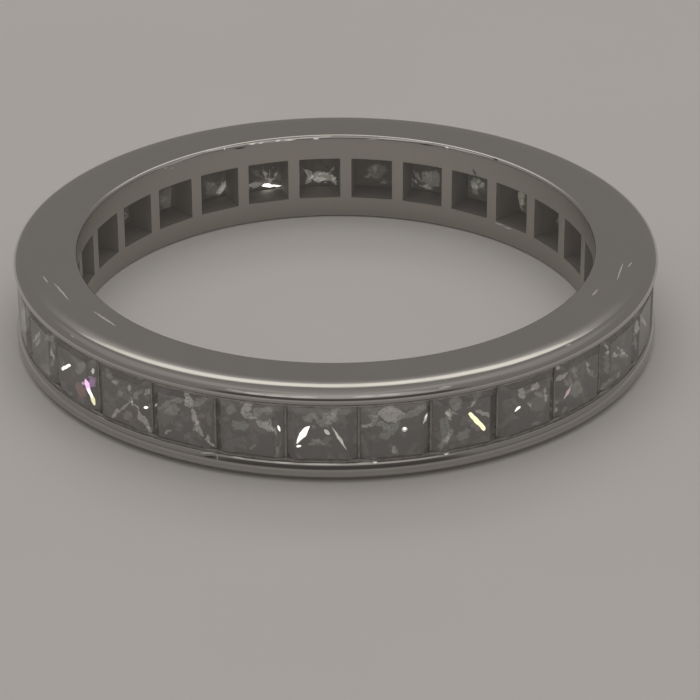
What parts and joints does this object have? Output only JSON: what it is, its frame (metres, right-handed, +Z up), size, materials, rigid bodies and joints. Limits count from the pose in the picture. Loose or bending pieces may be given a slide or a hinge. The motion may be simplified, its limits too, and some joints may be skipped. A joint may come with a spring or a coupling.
{
  "type": "eternity ring",
  "caption": "Channel-set eternity ring: square stones edge to edge between two rounded rails all the way round, over a pierced inner gallery.",
  "frame": {"origin": "centre of the ring at the level of the surface that it rests on", "axes": "+Z up along the finger bore's axis; the picture's camera looks along +Y with +X to its right"},
  "size_m": [0.021, 0.021, 0.0031],
  "materials": {
    "metal": "worn satin polish of platinum",
    "stone": "polished facets"
  },
  "bodies": {
    "root": {"band": "metal", "stone_01": "stone", "stone_02": "stone", "stone_03": "stone", "stone_04": "stone", "stone_05": "stone", "stone_06": "stone", "stone_07": "stone", "stone_08": "stone", "stone_09": "stone", "stone_10": "stone", "stone_11": "stone", "stone_12": "stone", "stone_13": "stone", "stone_14": "stone", "stone_15": "stone", "stone_16": "stone", "stone_17": "stone", "stone_18": "stone", "stone_19": "stone", "stone_20": "stone", "stone_21": "stone", "stone_22": "stone", "stone_23": "stone", "stone_24": "stone", "stone_25": "stone", "stone_26": "stone", "stone_27": "stone", "stone_28": "stone", "stone_29": "stone"}
  },
  "joints": []
}
